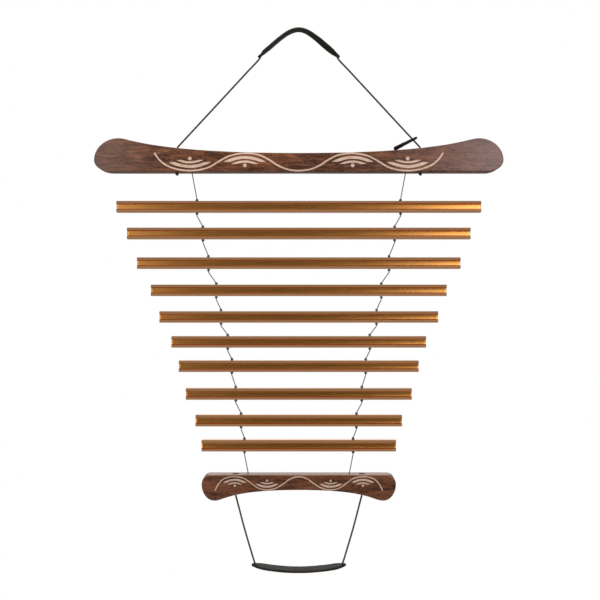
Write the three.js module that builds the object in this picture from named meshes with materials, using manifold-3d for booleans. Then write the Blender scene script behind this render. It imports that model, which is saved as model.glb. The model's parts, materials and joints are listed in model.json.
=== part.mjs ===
// A hanging bar chime. Ten grooved metal bars hang one below another on two knotted strings, between a long
// wooden beam and a short one. A cord with a leather strap carries the long beam, and a second cord and
// strap under the short beam make the handle.
// Millimetres, +Z up, the front towards -Y. The origin is the hanging point, under the crown of the strap.
import * as THREE from "three";
import { mergeVertices } from "three/addons/utils/BufferGeometryUtils.js";
import Module from "manifold-3d";

const wasm = await Module();
wasm.setup();

// Bars: two octaves of a five-note scale, cut from one grooved section
const SCALE_STEPS = [0, 2, 4, 7, 9, 12, 14, 16, 19, 21]; // semitones above the longest bar
const LONGEST_BAR = 475;
const SEMITONE_SHARE = 0.0432; // of a halving of the length, for each semitone
const NODE_SHARE = 0.22; // still points of a free bar, as a share of its length from each end
const BAR_HEIGHT = 15;
const BAR_DEPTH = 14;
const RAIL_HEIGHT = 3.6; // slanted rail above and below the trough
const RAIL_SLANT = 2.1; // how far a rail leans back over its height
const TROUGH_DEPTH = 4;
const TROUGH_FLOOR = 4.6; // height of the trough's flat floor
const BAR_BORE = 3.4;

// Ladder: drops from the upper beam to the bars and to the lower beam, as tied by hand
const FIRST_DROP = 44.7; // upper beam's underside to the first bar's middle
const BAR_PITCHES = [34.8, 38.7, 35.5, 34.7, 32.5, 31.7, 36.2, 34.7, 32.6];
const LAST_DROP = 37.1; // last bar's middle to the lower beam's top

// String and its knots
const STRING_DIAMETER = 1.4;
const STRING_KNOT = 4.4;
const STRING_KNOT_HEIGHT = 3;

// Cord and its knots
const CORD_DIAMETER = 2.4;
const CORD_KNOT = 5.2;
const CORD_KNOT_HEIGHT = 3.6;
const FLAT_KNOT = 7.4; // handle cord's knot, pulled flat and sunk in the lower beam
const FLAT_KNOT_HEIGHT = 2.8;

// Form of every knot, as shares of its swell and its height
const KNOT_SHOULDER = 0.75;
const KNOT_SHOULDER_RISE = 0.12;

// Upper beam: flat below, drawn in at the waist, swelling to a crown near each tip
const BEAM_DROP = 185; // hanging point to the beam's flat underside
const UPPER_LENGTH = 531;
const UPPER_WAIST = 24.4;
const UPPER_CROWN = 43.6;
const UPPER_CROWN_INSET = 32; // tip to crown
const UPPER_NOSE = 15.2; // height of the tip over the flat edge
const UPPER_CORNER = 22; // tip to the start of the flat edge
const UPPER_FLARE = 75.5; // tip to where the waist would start to rise
const HANGER_HOLE = 159; // middle to hole, along the beam
const UPPER_STRING_HOLE = 139.3;

// Lower beam: the same form turned over, with its flat edge on top
const LOWER_LENGTH = 252;
const LOWER_WAIST = 19.5;
const LOWER_CROWN = 33.3;
const LOWER_CROWN_INSET = 16.5;
const LOWER_NOSE = 12.3;
const LOWER_CORNER = 10.4;
const LOWER_FLARE = 35.3;
const LOWER_STRING_HOLE = 66.2;
const HANDLE_HOLE = 82.5;

// Both beams
const BEAM_DEPTH = 22;
const BEAM_EDGE = 1.2; // softened edges
const CROWN_EASE = 14; // how gently the edge comes up to the crown

// Leather straps and tab
const HANGER_WIDTH = 12;
const HANGER_THICKNESS = 2.8;
const HANGER_END = 21; // length of the rounded end
const HANGER_SPAN = 106.5; // tip to tip
const HANGER_RISE = 35.3; // tip to crown
const HANGER_CROWN = 17; // half length of the bend that lies over a hook
const HANGER_FLARE_OUT = 18; // flare of the ends
const HANGER_FLARE_UP = 11.5;
const HANGER_TWIST = -20; // degrees that the right leg is turned on itself
const TWIST_START = 0.5; // where the turn starts and is complete, as shares of the strap from its left end
const TWIST_DONE = 0.78;
const HANDLE_WIDTH = 24;
const HANDLE_THICKNESS = 3.2;
const HANDLE_END = 18;
const HANDLE_DROP = 125.6; // lower beam's top to the middle of the handle strap
const HANDLE_SPAN = 123;
const HANDLE_SAG = 7;
const HANDLE_CROWN = 22;
const HANDLE_FLARE_OUT = 19.5;
const HANDLE_FLARE_UP = 4.5;
const LEATHER_TIP = 0.24; // width of a rounded end's tip, as a share of the leather's
const LEATHER_EDGE = 0.7;
const TAB_LENGTH = 34;
const TAB_WIDTH = 8;
const TAB_THICKNESS = 2.8;
const TAB_END = 2.6;
const TAB_HOLE = 6.2; // upper end to the hole
const TAB_PLACE = 14.6; // beam to tab, along the cord
const TAB_SLOPE = 27; // degrees below the level
const TAB_TWIST = 22; // degrees over its length

// Clearances
const HINGE_GAP = 0.4; // between a cord's end and the place it swings on
const KNOT_GAP = 0.3; // between a knot and what it bears on
const STRING_PLAY = 0.5; // round the string in the beams' bores
const CORD_PLAY = 0.3; // round the cord in its bores and holes
const SINK_PLAY = 0.7; // round a sunk knot

// Cord routes in the plane of the chime: the right half, from the bore to the strap's middle. Each point is
// a distance from the middle, as a share of half the strap's span, and a height, for the hanger from the
// hanging point and for the handle from the lower beam's top.
const HANGER_ROUTE = [
  [2.329, -114.7],
  [1.671, -76.8],
  [1.239, -51.9],
  [0.969, -36.3],
  [0.92, -31.2],
  [0.881, -26.5],
  [0.817, -23.2],
  [0.706, -18.2],
  [0.53, -10.1],
  [0.344, -2.65],
  [0.24, 0.6],
  [0.126, 3.05],
  [0, 4.05],
];
const HANDLE_ROUTE = [
  [1.255, -48.1],
  [1.161, -70.1],
  [1.057, -92.1],
  [0.946, -114.5],
  [0.92, -118.7],
  [0.876, -122.5],
  [0.8, -124],
  [0.688, -125.2],
  [0.493, -126.8],
  [0.296, -127.9],
  [0.099, -128.4],
  [0, -128.45],
];

// Fineness of the facets
const EDGE_STEPS = 10;
const ROUNDING_STEPS = 2;
const LOOKUP_STEPS = 400; // points along an edge when its height is read off
const BAR_STEPS = 6;
const BORE_SIDES = 14;
const CORD_SIDES = 8;
const STRING_SIDES = 6;
const BALL_RINGS = 6;
const WELD = 1e-4; // points this close are one
const HANGER_STEPS = 76;
const HANDLE_STEPS = 56;
const STRAP_STEPS = 26;
const TAB_STEPS = 12;

const finishes = {
  wood: new THREE.MeshStandardMaterial({ color: 0x6b4331, roughness: 0.45, metalness: 0 }),
  bronze: new THREE.MeshStandardMaterial({ color: 0xa8743f, roughness: 0.28, metalness: 1 }),
  leather: new THREE.MeshStandardMaterial({ color: 0x2b2926, roughness: 0.7, metalness: 0 }),
  cord: new THREE.MeshStandardMaterial({ color: 0x24231f, roughness: 0.85, metalness: 0 }),
  string: new THREE.MeshStandardMaterial({ color: 0x6d6b64, roughness: 0.8, metalness: 0 }),
};

const stringRadius = STRING_DIAMETER / 2;
const cordRadius = CORD_DIAMETER / 2;
const sides = [
  ["left", -1],
  ["right", 1],
];

// Joining and cutting closed meshes
function solidOf(geometry) {
  const bare = geometry.clone();
  bare.deleteAttribute("normal");
  bare.deleteAttribute("uv");
  const merged = mergeVertices(bare, WELD);
  const vertProperties = merged.attributes.position.array;
  const triVerts = new Uint32Array(merged.index.array);
  return new wasm.Manifold(new wasm.Mesh({ numProp: 3, vertProperties, triVerts }));
}

function geometryOf(solid) {
  const { vertProperties, triVerts } = solid.getMesh();
  const geometry = new THREE.BufferGeometry();
  geometry.setAttribute("position", new THREE.BufferAttribute(vertProperties, 3));
  geometry.setIndex(new THREE.BufferAttribute(triVerts, 1));
  geometry.computeVertexNormals();
  return geometry;
}

function cut(geometry, tools) {
  const solid = tools.reduce((rest, tool) => rest.subtract(solidOf(tool)), solidOf(geometry));
  return geometryOf(solid);
}

function fuse(geometries) {
  return geometryOf(geometries.map(solidOf).reduce((whole, piece) => whole.add(piece)));
}

// A skin over rings of equally many points, closed by a flat cap at each end
function loft(rings) {
  const count = rings[0].length;
  const index = [];
  for (let r = 0; r + 1 < rings.length; r++) {
    for (let i = 0; i < count; i++) {
      const near = r * count + i;
      const next = r * count + ((i + 1) % count);
      index.push(near, next, next + count, near, next + count, near + count);
    }
  }
  const last = (rings.length - 1) * count;
  for (let i = 1; i + 1 < count; i++) {
    index.push(0, i + 1, i, last, last + i, last + i + 1);
  }
  const geometry = new THREE.BufferGeometry().setFromPoints(rings.flat());
  geometry.setIndex(index);
  geometry.computeVertexNormals();
  return geometry;
}

// A round bar along Z, and a solid turned about Z from pairs of radius and height
function post(radius, bottom, top) {
  const geometry = new THREE.CylinderGeometry(radius, radius, top - bottom, BORE_SIDES);
  return geometry.rotateX(Math.PI / 2).translate(0, 0, (bottom + top) / 2);
}

function turned(profile) {
  const points = profile.map(([radius, height]) => new THREE.Vector2(radius, height));
  return new THREE.LatheGeometry(points, CORD_SIDES).rotateX(Math.PI / 2);
}

// Radius and height pairs of a knot, from its lower end to its upper one
function knotProfile(radius, knot, bottom, height) {
  const shoulder = radius + KNOT_SHOULDER * (knot / 2 - radius);
  const rise = KNOT_SHOULDER_RISE * height;
  return [
    [radius, bottom],
    [shoulder, bottom + rise],
    [knot / 2, bottom + height / 2],
    [shoulder, bottom + height - rise],
    [radius, bottom + height],
  ];
}

// Beam outline with its flat edge on the X axis and its waist and crowns above
function crownEdge({ length, waist, crown, crownInset, flare }) {
  const tip = length / 2;
  return new THREE.CubicBezierCurve(
    new THREE.Vector2(tip - crownInset, crown),
    new THREE.Vector2(tip - crownInset - CROWN_EASE, crown),
    new THREE.Vector2(tip - flare, waist),
    new THREE.Vector2(0, waist),
  );
}

function beamBlank(form) {
  const { length, crown, crownInset, nose, corner } = form;
  const tip = length / 2;
  const { v0, v1, v2, v3 } = crownEdge(form);
  const shape = new THREE.Shape();
  shape.moveTo(corner - tip, 0);
  shape.lineTo(tip - corner, 0);
  shape.absellipse(tip - corner, nose, corner, nose, -Math.PI / 2, 0);
  shape.absellipse(tip - crownInset, nose, crownInset, crown - nose, 0, Math.PI / 2);
  shape.bezierCurveTo(v1.x, v1.y, v2.x, v2.y, v3.x, v3.y);
  shape.bezierCurveTo(-v2.x, v2.y, -v1.x, v1.y, -v0.x, v0.y);
  shape.absellipse(crownInset - tip, nose, crownInset, crown - nose, Math.PI / 2, Math.PI);
  shape.absellipse(corner - tip, nose, corner, nose, Math.PI, (3 * Math.PI) / 2);
  const geometry = new THREE.ExtrudeGeometry(shape, {
    depth: BEAM_DEPTH - 2 * BEAM_EDGE,
    curveSegments: EDGE_STEPS,
    bevelSize: BEAM_EDGE,
    bevelThickness: BEAM_EDGE,
    bevelOffset: -BEAM_EDGE,
    bevelSegments: ROUNDING_STEPS,
  });
  return geometry.translate(0, 0, BEAM_EDGE - BEAM_DEPTH / 2).rotateX(Math.PI / 2);
}

// Height of the curved edge over the flat one, at a distance from the beam's middle
function beamHeight(form, x) {
  const points = crownEdge(form).getPoints(LOOKUP_STEPS);
  return points.find((point) => point.x <= x).y;
}

const upperForm = {
  length: UPPER_LENGTH,
  waist: UPPER_WAIST,
  crown: UPPER_CROWN,
  crownInset: UPPER_CROWN_INSET,
  nose: UPPER_NOSE,
  corner: UPPER_CORNER,
  flare: UPPER_FLARE,
};
const lowerForm = {
  length: LOWER_LENGTH,
  waist: LOWER_WAIST,
  crown: LOWER_CROWN,
  crownInset: LOWER_CROWN_INSET,
  nose: LOWER_NOSE,
  corner: LOWER_CORNER,
  flare: LOWER_FLARE,
};
const hangerHeight = beamHeight(upperForm, HANGER_HOLE);
const anchorHeight = beamHeight(upperForm, UPPER_STRING_HOLE);
const endHeight = beamHeight(lowerForm, LOWER_STRING_HOLE);
const handleHeight = beamHeight(lowerForm, HANDLE_HOLE);

// Bores through a beam: cord holes, and string holes whose far end is sunk for the knot
const cordBore = cordRadius + CORD_PLAY;
const stringBore = stringRadius + STRING_PLAY;
const sinkRadius = STRING_KNOT / 2 + SINK_PLAY;
const sinkDepth = STRING_KNOT_HEIGHT + SINK_PLAY;
const knotSinkRadius = FLAT_KNOT / 2 + SINK_PLAY;
const knotSinkDepth = FLAT_KNOT_HEIGHT + SINK_PLAY;
const through = UPPER_CROWN; // cutters reach this far past the wood

function beamBores(cordHole, stringHole, stringHeight) {
  return sides.flatMap(([, side]) => [
    post(cordBore, -through, 2 * through).translate(side * cordHole, 0, 0),
    post(stringBore, -through, 2 * through).translate(side * stringHole, 0, 0),
    post(sinkRadius, stringHeight - sinkDepth, 2 * through).translate(side * stringHole, 0, 0),
  ]);
}

function upperBeam() {
  return cut(beamBlank(upperForm), beamBores(HANGER_HOLE, UPPER_STRING_HOLE, anchorHeight));
}

function lowerBeam() {
  const bores = beamBores(HANDLE_HOLE, LOWER_STRING_HOLE, endHeight);
  const sinks = sides.map(([, side]) => {
    return post(knotSinkRadius, -through, knotSinkDepth).translate(side * HANDLE_HOLE, 0, 0);
  });
  return cut(beamBlank(lowerForm), [...bores, ...sinks]).rotateY(Math.PI);
}

// Cord in a bore up to the far face of the wood, with a knot that bears on the near face, at height 0, or on
// the floor of a sink there
function knottedCord(knot, knotHeight, sink, length) {
  const bottom = sink - KNOT_GAP - knotHeight;
  const profile = knotProfile(cordRadius, knot, bottom, knotHeight);
  return turned([[0, bottom], ...profile, [cordRadius, length], [0, length]]);
}

// String in a bore from the flat edge at height 0 to the knot sunk in the curved edge
function sunkString(height) {
  const bottom = height - sinkDepth + KNOT_GAP;
  const profile = knotProfile(stringRadius, STRING_KNOT, bottom, STRING_KNOT_HEIGHT);
  const top = bottom + STRING_KNOT_HEIGHT;
  return turned([[0, 0], [stringRadius, 0], ...profile, [0, top]]);
}

// Bars
function barLength(step) {
  return LONGEST_BAR * 2 ** (-step * SEMITONE_SHARE);
}

function barHole(step) {
  return (0.5 - NODE_SHARE) * barLength(step);
}

function barSection() {
  const top = BAR_HEIGHT / 2;
  const front = BAR_DEPTH / 2;
  const lip = top - RAIL_HEIGHT;
  const back = front - RAIL_SLANT;
  const floor = front - TROUGH_DEPTH;
  const flat = TROUGH_FLOOR / 2;
  const shape = new THREE.Shape();
  shape.moveTo(back, -top);
  shape.lineTo(front, -lip);
  shape.quadraticCurveTo(floor, -lip, floor, -flat);
  shape.lineTo(floor, flat);
  shape.quadraticCurveTo(floor, lip, front, lip);
  shape.lineTo(back, top);
  shape.lineTo(-back, top);
  shape.lineTo(-front, lip);
  shape.quadraticCurveTo(-floor, lip, -floor, flat);
  shape.lineTo(-floor, -flat);
  shape.quadraticCurveTo(-floor, -lip, -front, -lip);
  shape.lineTo(-back, -top);
  return shape;
}

function chimeBar(step) {
  const length = barLength(step);
  const options = { depth: length, bevelEnabled: false, curveSegments: BAR_STEPS };
  const blank = new THREE.ExtrudeGeometry(barSection(), options);
  blank.translate(0, 0, -length / 2).rotateX(Math.PI / 2).rotateZ(Math.PI / 2);
  const bores = sides.map(([, side]) => {
    return post(BAR_BORE / 2, -BAR_HEIGHT, BAR_HEIGHT).translate(side * barHole(step), 0, 0);
  });
  return cut(blank, bores);
}

// Strings: rings around a line that drops from a ball end, shifted sideways by the end of the stretch
function stringRing(x, [radius, height]) {
  return Array.from({ length: STRING_SIDES }, (_, i) => {
    const angle = (-2 * Math.PI * i) / STRING_SIDES;
    return new THREE.Vector3(x + radius * Math.cos(angle), radius * Math.sin(angle), height);
  });
}

function ballEnd(way) {
  const angles = [(3 * Math.PI) / 8, Math.PI / 8];
  return angles.map((angle) => [stringRadius * Math.cos(angle), way * stringRadius * Math.sin(angle)]);
}

// A stretch with the knots over and under its bar; the ball at the origin is where it swings
function barString(shift, barTop) {
  const over = barTop + KNOT_GAP;
  const under = barTop - BAR_HEIGHT - KNOT_GAP - STRING_KNOT_HEIGHT;
  const head = [...ballEnd(1), [stringRadius, 0]];
  const foot = [
    ...knotProfile(stringRadius, STRING_KNOT, over, STRING_KNOT_HEIGHT).reverse(),
    ...knotProfile(stringRadius, STRING_KNOT, under, STRING_KNOT_HEIGHT).reverse(),
  ];
  return loft([...head.map((pair) => stringRing(0, pair)), ...foot.map((pair) => stringRing(shift, pair))]);
}

// The last stretch, with a ball at both ends
function endString(shift, drop) {
  const head = [...ballEnd(1), [stringRadius, 0]];
  const foot = [[stringRadius, 0], ...ballEnd(-1).reverse()];
  const low = foot.map(([radius, height]) => stringRing(shift, [radius, height - drop]));
  return loft([...head.map((pair) => stringRing(0, pair)), ...low]);
}

// Cords: a half route from its end over the bore to the middle of the strap, and its mirror image
function wholeRoute(end, route, span) {
  const points = route.map(([share, z]) => [(share * span) / 2, z]);
  const half = [end, ...points].map(([x, z]) => new THREE.Vector3(x, 0, z));
  const mirrored = half.slice(0, -1).map((point) => new THREE.Vector3(-point.x, 0, point.z));
  return new THREE.CatmullRomCurve3([...half, ...mirrored.reverse()]);
}

function tube(curve, radius, steps) {
  const section = new THREE.Shape();
  section.absarc(0, 0, radius, 0, 2 * Math.PI);
  const options = { steps, extrudePath: curve, curveSegments: CORD_SIDES / 2, bevelEnabled: false };
  return new THREE.ExtrudeGeometry(section, options);
}

function cordWithBalls(curve, steps) {
  const ends = [curve.points[0], curve.points[curve.points.length - 1]];
  const balls = ends.map((end) => {
    return new THREE.SphereGeometry(cordRadius, CORD_SIDES, BALL_RINGS).translate(end.x, end.y, end.z);
  });
  return fuse([tube(curve, cordRadius, steps), ...balls]);
}

// Leather: a band with softened edges and rounded ends along a curve in the plane of the chime
function leatherBand(curve, { width, thickness, end, steps, turn }) {
  const length = curve.getLength();
  const rings = Array.from({ length: steps + 1 }, (_, i) => {
    const u = (1 - Math.cos((Math.PI * i) / steps)) / 2; // closer rings at the rounded ends
    const fromEnd = Math.min(length * u, length * (1 - u), end) / end;
    const round = LEATHER_TIP + (1 - LEATHER_TIP) * Math.sin((Math.PI * fromEnd) / 2);
    const half = (width * round) / 2;
    const along = curve.getTangentAt(u);
    const across = new THREE.Vector3(0, 1, 0).applyAxisAngle(along, turn(u));
    const up = new THREE.Vector3().crossVectors(along, across);
    const centre = curve.getPointAt(u);
    const corner = (a, b) => centre.clone().addScaledVector(across, a).addScaledVector(up, b);
    const flat = half - LEATHER_EDGE;
    const face = thickness / 2;
    const side = face - LEATHER_EDGE;
    return [
      corner(half, -side),
      corner(half, side),
      corner(flat, face),
      corner(-flat, face),
      corner(-half, side),
      corner(-half, -side),
      corner(-flat, -face),
      corner(flat, -face),
    ];
  });
  return loft(rings);
}

function archCurve(span, rise, crown, flareOut, flareUp) {
  const tip = span / 2;
  const way = Math.sign(rise);
  const half = new THREE.CubicBezierCurve3(
    new THREE.Vector3(0, 0, 0),
    new THREE.Vector3(crown, 0, 0),
    new THREE.Vector3(tip - flareOut, 0, way * flareUp - rise),
    new THREE.Vector3(tip, 0, -rise),
  );
  const right = half.getSpacedPoints(EDGE_STEPS);
  const left = right.slice(1).map((point) => new THREE.Vector3(-point.x, 0, point.z));
  return new THREE.CatmullRomCurve3([...left.reverse(), ...right]);
}

// Hanger: strap, cord and tab
const hangerEnd = [HANGER_HOLE, hangerHeight - BEAM_DROP + HINGE_GAP + cordRadius];
const hangerCurve = wholeRoute(hangerEnd, HANGER_ROUTE, HANGER_SPAN);

function hangerStrap() {
  const arch = archCurve(HANGER_SPAN, HANGER_RISE, HANGER_CROWN, HANGER_FLARE_OUT, HANGER_FLARE_UP);
  arch.points.forEach((point) => point.setZ(point.z + HANGER_THICKNESS / 2));
  const twist = THREE.MathUtils.degToRad(HANGER_TWIST);
  const form = {
    width: HANGER_WIDTH,
    thickness: HANGER_THICKNESS,
    end: HANGER_END,
    steps: STRAP_STEPS,
    turn: (u) => twist * THREE.MathUtils.smoothstep(u, TWIST_START, TWIST_DONE),
  };
  const hole = tube(hangerCurve, cordRadius + CORD_PLAY, HANGER_STEPS);
  return cut(leatherBand(arch, form), [hole]);
}

function hangerTab() {
  const start = hangerCurve.points[0];
  const run = hangerCurve.points[1].clone().sub(start).normalize();
  const place = start.clone().addScaledVector(run, TAB_PLACE);
  const slope = THREE.MathUtils.degToRad(TAB_SLOPE);
  const down = new THREE.Vector3(-Math.cos(slope), 0, -Math.sin(slope));
  const top = down.clone().multiplyScalar(-TAB_HOLE);
  const line = new THREE.LineCurve3(top, down.clone().multiplyScalar(TAB_LENGTH - TAB_HOLE));
  const form = {
    width: TAB_WIDTH,
    thickness: TAB_THICKNESS,
    end: TAB_END,
    steps: TAB_STEPS,
    turn: (u) => THREE.MathUtils.degToRad(TAB_TWIST) * u,
  };
  const reach = run.clone().multiplyScalar(TAB_WIDTH);
  const hole = tube(new THREE.LineCurve3(reach.clone().negate(), reach), cordRadius + CORD_PLAY, 1);
  return { geometry: cut(leatherBand(line, form), [hole]), place };
}

// Handle: strap and cord, in the lower beam's frame
const handleEnd = [HANDLE_HOLE, -handleHeight - HINGE_GAP - cordRadius];
const handleCurve = wholeRoute(handleEnd, HANDLE_ROUTE, HANDLE_SPAN);

function handleStrap() {
  const arch = archCurve(HANDLE_SPAN, -HANDLE_SAG, HANDLE_CROWN, HANDLE_FLARE_OUT, HANDLE_FLARE_UP);
  arch.points.forEach((point) => point.setZ(point.z - HANDLE_DROP));
  const form = {
    width: HANDLE_WIDTH,
    thickness: HANDLE_THICKNESS,
    end: HANDLE_END,
    steps: STRAP_STEPS,
    turn: () => 0,
  };
  const hole = tube(handleCurve, cordRadius + CORD_PLAY, HANDLE_STEPS);
  return cut(leatherBand(arch, form), [hole]);
}

// Assembly
const chime = new THREE.Group();

function place(parent, name, geometry, finish, x = 0, z = 0) {
  const mesh = new THREE.Mesh(geometry, finish);
  mesh.name = name;
  mesh.position.set(x, 0, z);
  parent.add(mesh);
}

const tab = hangerTab();
place(chime, "hanger_strap", hangerStrap(), finishes.leather);
place(chime, "hanger_cord", cordWithBalls(hangerCurve, HANGER_STEPS), finishes.cord);
place(chime, "cord_tab", tab.geometry, finishes.leather, tab.place.x, tab.place.z);

const upper = new THREE.Group();
upper.position.z = -BEAM_DROP;
chime.add(upper);
place(upper, "upper_beam", upperBeam(), finishes.wood);
for (const [name, side] of sides) {
  const knot = knottedCord(CORD_KNOT, CORD_KNOT_HEIGHT, 0, hangerHeight);
  place(upper, `hanger_knot_${name}`, knot, finishes.cord, side * HANGER_HOLE);
  place(upper, `string_anchor_${name}`, sunkString(anchorHeight), finishes.string, side * UPPER_STRING_HOLE);
}

// Down the ladder: each stretch starts under the knot over it and ends in the knots of its own bar
let barMiddle = -BEAM_DROP - FIRST_DROP;
let swingHole = UPPER_STRING_HOLE;
let swingHeight = -BEAM_DROP - HINGE_GAP - stringRadius;
SCALE_STEPS.forEach((step, i) => {
  const number = i + 1;
  const hole = barHole(step);
  place(chime, `chime_bar_${number}`, chimeBar(step), finishes.bronze, 0, barMiddle);
  for (const [name, side] of sides) {
    const geometry = barString(side * (hole - swingHole), barMiddle + BAR_HEIGHT / 2 - swingHeight);
    place(chime, `${name}_string_${number}`, geometry, finishes.string, side * swingHole, swingHeight);
  }
  const knotFoot = barMiddle - BAR_HEIGHT / 2 - KNOT_GAP - STRING_KNOT_HEIGHT;
  swingHole = hole;
  swingHeight = knotFoot - HINGE_GAP - stringRadius;
  barMiddle -= i < BAR_PITCHES.length ? BAR_PITCHES[i] : LAST_DROP;
});

const lower = new THREE.Group();
lower.position.z = barMiddle;
chime.add(lower);
for (const [name, side] of sides) {
  const drop = swingHeight - barMiddle - HINGE_GAP - stringRadius;
  const geometry = endString(side * (LOWER_STRING_HOLE - swingHole), drop);
  const number = SCALE_STEPS.length + 1;
  place(chime, `${name}_string_${number}`, geometry, finishes.string, side * swingHole, swingHeight);
  const end = sunkString(endHeight).rotateY(Math.PI);
  const knot = knottedCord(FLAT_KNOT, FLAT_KNOT_HEIGHT, knotSinkDepth, handleHeight).rotateY(Math.PI);
  place(lower, `string_end_${name}`, end, finishes.string, side * LOWER_STRING_HOLE);
  place(lower, `handle_knot_${name}`, knot, finishes.cord, side * HANDLE_HOLE);
}
place(lower, "lower_beam", lowerBeam(), finishes.wood);
place(lower, "handle_cord", cordWithBalls(handleCurve, HANDLE_STEPS), finishes.cord);
place(lower, "handle_strap", handleStrap(), finishes.leather);

export default chime;
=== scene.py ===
import json
import math

import bpy
import numpy as np
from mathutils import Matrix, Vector


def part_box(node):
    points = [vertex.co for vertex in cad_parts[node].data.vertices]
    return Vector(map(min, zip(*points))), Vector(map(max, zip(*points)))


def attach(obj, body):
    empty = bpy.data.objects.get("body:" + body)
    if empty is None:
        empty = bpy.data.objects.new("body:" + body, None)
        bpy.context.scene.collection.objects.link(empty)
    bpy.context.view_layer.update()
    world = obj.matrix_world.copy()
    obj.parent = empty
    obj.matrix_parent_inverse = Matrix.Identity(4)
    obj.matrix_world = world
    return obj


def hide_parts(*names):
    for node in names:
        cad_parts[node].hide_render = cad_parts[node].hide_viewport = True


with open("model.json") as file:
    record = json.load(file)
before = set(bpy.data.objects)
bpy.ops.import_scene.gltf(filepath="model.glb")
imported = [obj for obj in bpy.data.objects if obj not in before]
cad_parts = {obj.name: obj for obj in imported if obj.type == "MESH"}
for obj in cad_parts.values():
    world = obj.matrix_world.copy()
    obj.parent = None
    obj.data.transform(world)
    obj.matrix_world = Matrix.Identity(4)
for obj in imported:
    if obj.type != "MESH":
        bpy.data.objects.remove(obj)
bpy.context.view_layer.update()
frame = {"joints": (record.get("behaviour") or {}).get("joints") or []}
scene = bpy.context.scene
scene.view_settings.view_transform = "Standard"
pivots = {joint["name"]: np.array(joint["pos_m"]) * 1000 for joint in frame["joints"]}
sideSigns = {"left": -1, "right": 1}
mm = 0.001  # sizes below are in millimetres, meshes in metres


def inMetres(sizes):
    return [size * mm for size in sizes]


# camera, level with the middle of the chime

cameraForm = {"place": (1.6, -1256, -351.3), "focalPixels": 961, "picturePixels": 600, "sensor": 36}


def makeCamera(form):
    data = bpy.data.cameras.new("photoCamera")
    data.sensor_width = form["sensor"]
    data.lens = form["focalPixels"] * form["sensor"] / form["picturePixels"]
    camera = bpy.data.objects.new("photoCamera", data)
    camera.location = inMetres(form["place"])
    camera.rotation_euler = (math.pi / 2, 0, 0)  # level, towards +Y
    scene.collection.objects.link(camera)
    scene.camera = camera


makeCamera(cameraForm)
print("camera set")


# node helpers; a socket knows its tree

def isSocket(value):
    return isinstance(value, bpy.types.NodeSocket)


def fillSockets(node, sockets):
    for key, value in sockets.items():
        if isSocket(value):
            node.id_data.links.new(value, node.inputs[key])
        else:
            node.inputs[key].default_value = value


def addNode(kind, sockets, **settings):
    tree = next(value.id_data for value in sockets.values() if isSocket(value))
    node = tree.nodes.new(kind)
    for key, value in settings.items():
        setattr(node, key, value)
    fillSockets(node, sockets)
    return node.outputs


def mathNode(operation, first, second=0.0):
    return addNode("ShaderNodeMath", {0: first, 1: second}, operation=operation)[0]


def times(first, second):
    return mathNode("MULTIPLY", first, second)


def plus(first, second):
    return mathNode("ADD", first, second)


def minus(first, second):
    return mathNode("SUBTRACT", first, second)


def rangeNode(value, low, high, toLow=0.0, toHigh=1.0):
    sockets = {"Value": value, "From Min": low, "From Max": high, "To Min": toLow, "To Max": toHigh}
    return addNode("ShaderNodeMapRange", sockets, interpolation_type="SMOOTHSTEP")["Result"]


def mixValues(share, first, second):
    return addNode("ShaderNodeMix", {0: share, 2: first, 3: second})[0]


def mixColors(share, first, second, blend="MIX"):
    sockets = {0: share, 6: first, 7: second}
    return addNode("ShaderNodeMix", sockets, data_type="RGBA", blend_type=blend)[2]


def axesOf(vector):
    return addNode("ShaderNodeSeparateXYZ", {0: vector})


def vectorNode(x=0.0, y=0.0, z=0.0):
    return addNode("ShaderNodeCombineXYZ", {0: x, 1: y, 2: z})[0]


def noiseNode(position, stretch, detail, roughness, distortion=0.0, turn=(0, 0, 0)):
    mapped = addNode("ShaderNodeMapping", {"Vector": position, "Scale": stretch, "Rotation": turn})[0]
    sockets = {"Vector": mapped, "Scale": 1.0, "Detail": detail, "Roughness": roughness}
    return addNode("ShaderNodeTexNoise", {**sockets, "Distortion": distortion})["Fac"]


def bandNode(position, noise, band):
    return rangeNode(noiseNode(position, *noise), *band)


def bumpNode(height, distance, strength=1.0):
    return addNode("ShaderNodeBump", {"Height": height, "Distance": distance, "Strength": strength})[0]


def nodeGroup(name, inputs, outputs, kind="ShaderNodeTree"):
    tree = bpy.data.node_groups.new(name, kind)
    for way, sockets in (("INPUT", inputs), ("OUTPUT", outputs)):
        for label, value in sockets.items():
            tree.interface.new_socket(label, in_out=way, socket_type=f"NodeSocket{value}")
    return tree, tree.nodes.new("NodeGroupInput").outputs, tree.nodes.new("NodeGroupOutput")


def placeGroup(group, sockets):
    return addNode("ShaderNodeGroup", sockets, node_tree=group)


def newMaterial(name):
    material = bpy.data.materials.new(name)
    material.use_nodes = True
    nodes = material.node_tree.nodes
    return material, nodes["Principled BSDF"], nodes.new("ShaderNodeTexCoord").outputs["Object"]


def pointValue(shader, name):
    node = shader.id_data.nodes.new("ShaderNodeAttribute")
    node.attribute_name = name
    return node.outputs["Fac"]


# shared effects; a noise is its stretch, detail, roughness, distortion and turn, and a band is its range

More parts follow.
